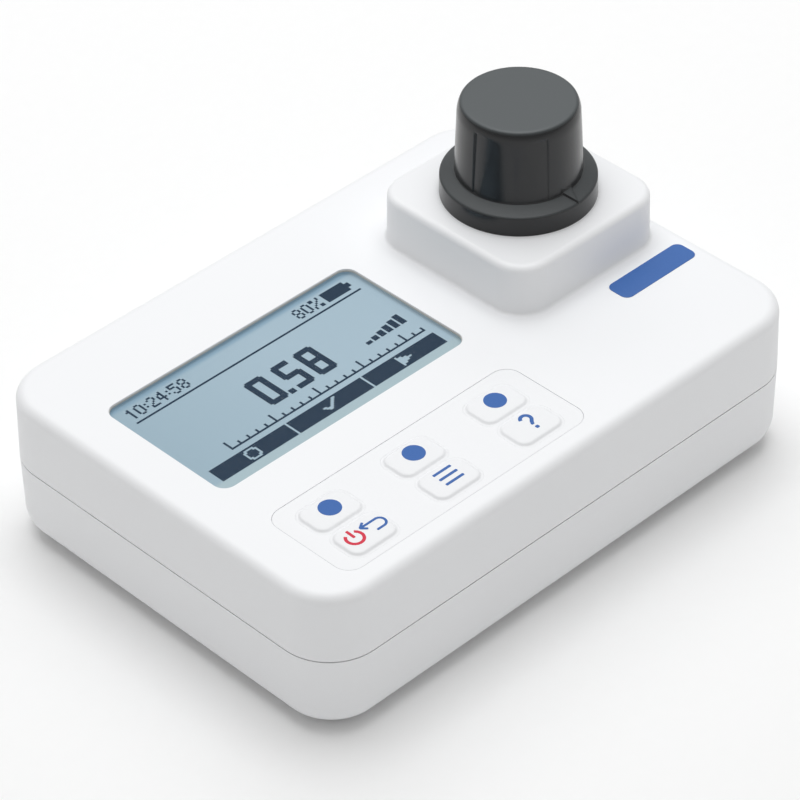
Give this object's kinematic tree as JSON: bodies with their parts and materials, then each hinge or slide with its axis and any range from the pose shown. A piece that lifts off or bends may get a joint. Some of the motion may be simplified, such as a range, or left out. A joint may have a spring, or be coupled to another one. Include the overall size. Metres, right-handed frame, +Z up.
{
  "type": "portable photometer",
  "caption": "Hand-held water-testing photometer: drafted two-part case, display window, raised keys and a tower with a lift-off light shield over a round cuvette.",
  "frame": {"origin": "centre of the overall box in plan, on the plane the rubber feet stand on", "axes": "+X along the long side in the display's reading direction, +Y from the keys towards the back edge, +Z up"},
  "size_m": [0.1424, 0.1024, 0.0736],
  "materials": {
    "shell_white": "fine moulded texture",
    "keypad_white": "smooth satin",
    "key_white": "soft satin",
    "seal_grey": "matte",
    "foot_grey": "matte",
    "window_clear": "clear polished",
    "lcd_face": "polished",
    "light_guide": "smooth",
    "bright_steel": "satin",
    "ribbon_amber": "smooth",
    "board_green": "satin",
    "part_black": "matte",
    "optics_black": "dead matte",
    "collar_black": "satin",
    "lamp_lens_clear": "polished",
    "filter_violet": "coated",
    "detector_can": "plated",
    "cell_wrap": "gloss",
    "contact_nickel": "plated",
    "label_blue": "printed gloss",
    "vial_glass": "clear polished",
    "stopper_black": "satin",
    "liner_white": "matte",
    "shield_black": "satin moulded"
  },
  "bodies": {
    "case": {"upper_case": "shell_white", "lower_case": "shell_white", "keypad_panel": "keypad_white", "case_gasket": "seal_grey", "rubber_feet": "foot_grey", "display_window": "window_clear", "lcd_glass": "lcd_face", "lcd_backlight": "light_guide", "lcd_frame": "bright_steel", "case_screws": "bright_steel", "board_screws": "bright_steel", "lcd_ribbon": "ribbon_amber", "keypad_board": "board_green", "main_board": "board_green", "lamp_board": "board_green", "detector_board": "board_green", "tact_switches": "part_black", "board_chips": "part_black", "board_link": "part_black", "buzzer": "part_black", "optical_block": "optics_black", "well_collar": "collar_black", "lamp_led": "lamp_lens_clear", "lamp_lens": "lamp_lens_clear", "interference_filter": "filter_violet", "photodetector": "detector_can", "battery_cells": "cell_wrap", "battery_contacts": "contact_nickel", "tag_label": "label_blue"},
    "cuvette": {"cuvette_glass": "vial_glass"},
    "cuvette_stopper": {"cuvette_cap": "stopper_black", "cuvette_cap_liner": "liner_white"},
    "light_shield": {"light_shield_cap": "shield_black"},
    "battery_door": {"battery_cover": "shell_white", "battery_cover_seal": "seal_grey", "cover_screws": "bright_steel"},
    "key_left_body": {"key_left": "key_white"},
    "key_middle_body": {"key_middle": "key_white"},
    "key_right_body": {"key_right": "key_white"},
    "key_power_body": {"key_power": "key_white"},
    "key_menu_body": {"key_menu": "key_white"},
    "key_help_body": {"key_help": "key_white"}
  },
  "joints": [
    {"name": "cuvette_lift", "type": "slide", "parent": "case", "child": "cuvette", "axis": [0, 0, 1], "range_m": [0, 0.05]},
    {"name": "stopper_lift", "type": "slide", "parent": "cuvette", "child": "cuvette_stopper", "axis": [0, 0, 1], "range_m": [0, 0.014]},
    {"name": "shield_lift", "type": "slide", "parent": "cuvette_stopper", "child": "light_shield", "axis": [0, 0, 1], "range_m": [0, 0.03]},
    {"name": "battery_door_drop", "type": "slide", "parent": "case", "child": "battery_door", "axis": [0, 0, -1], "range_m": [0, 0.012]},
    {"name": "key_left_press", "type": "slide", "parent": "case", "child": "key_left_body", "axis": [0, 0, -1], "range_m": [0, 0.0006], "stiffness_N_per_m": 1000},
    {"name": "key_middle_press", "type": "slide", "parent": "case", "child": "key_middle_body", "axis": [0, 0, -1], "range_m": [0, 0.0006], "stiffness_N_per_m": 1000},
    {"name": "key_right_press", "type": "slide", "parent": "case", "child": "key_right_body", "axis": [0, 0, -1], "range_m": [0, 0.0006], "stiffness_N_per_m": 1000},
    {"name": "key_power_press", "type": "slide", "parent": "case", "child": "key_power_body", "axis": [0, 0, -1], "range_m": [0, 0.0006], "stiffness_N_per_m": 1000},
    {"name": "key_menu_press", "type": "slide", "parent": "case", "child": "key_menu_body", "axis": [0, 0, -1], "range_m": [0, 0.0006], "stiffness_N_per_m": 1000},
    {"name": "key_help_press", "type": "slide", "parent": "case", "child": "key_help_body", "axis": [0, 0, -1], "range_m": [0, 0.0006], "stiffness_N_per_m": 1000}
  ]
}
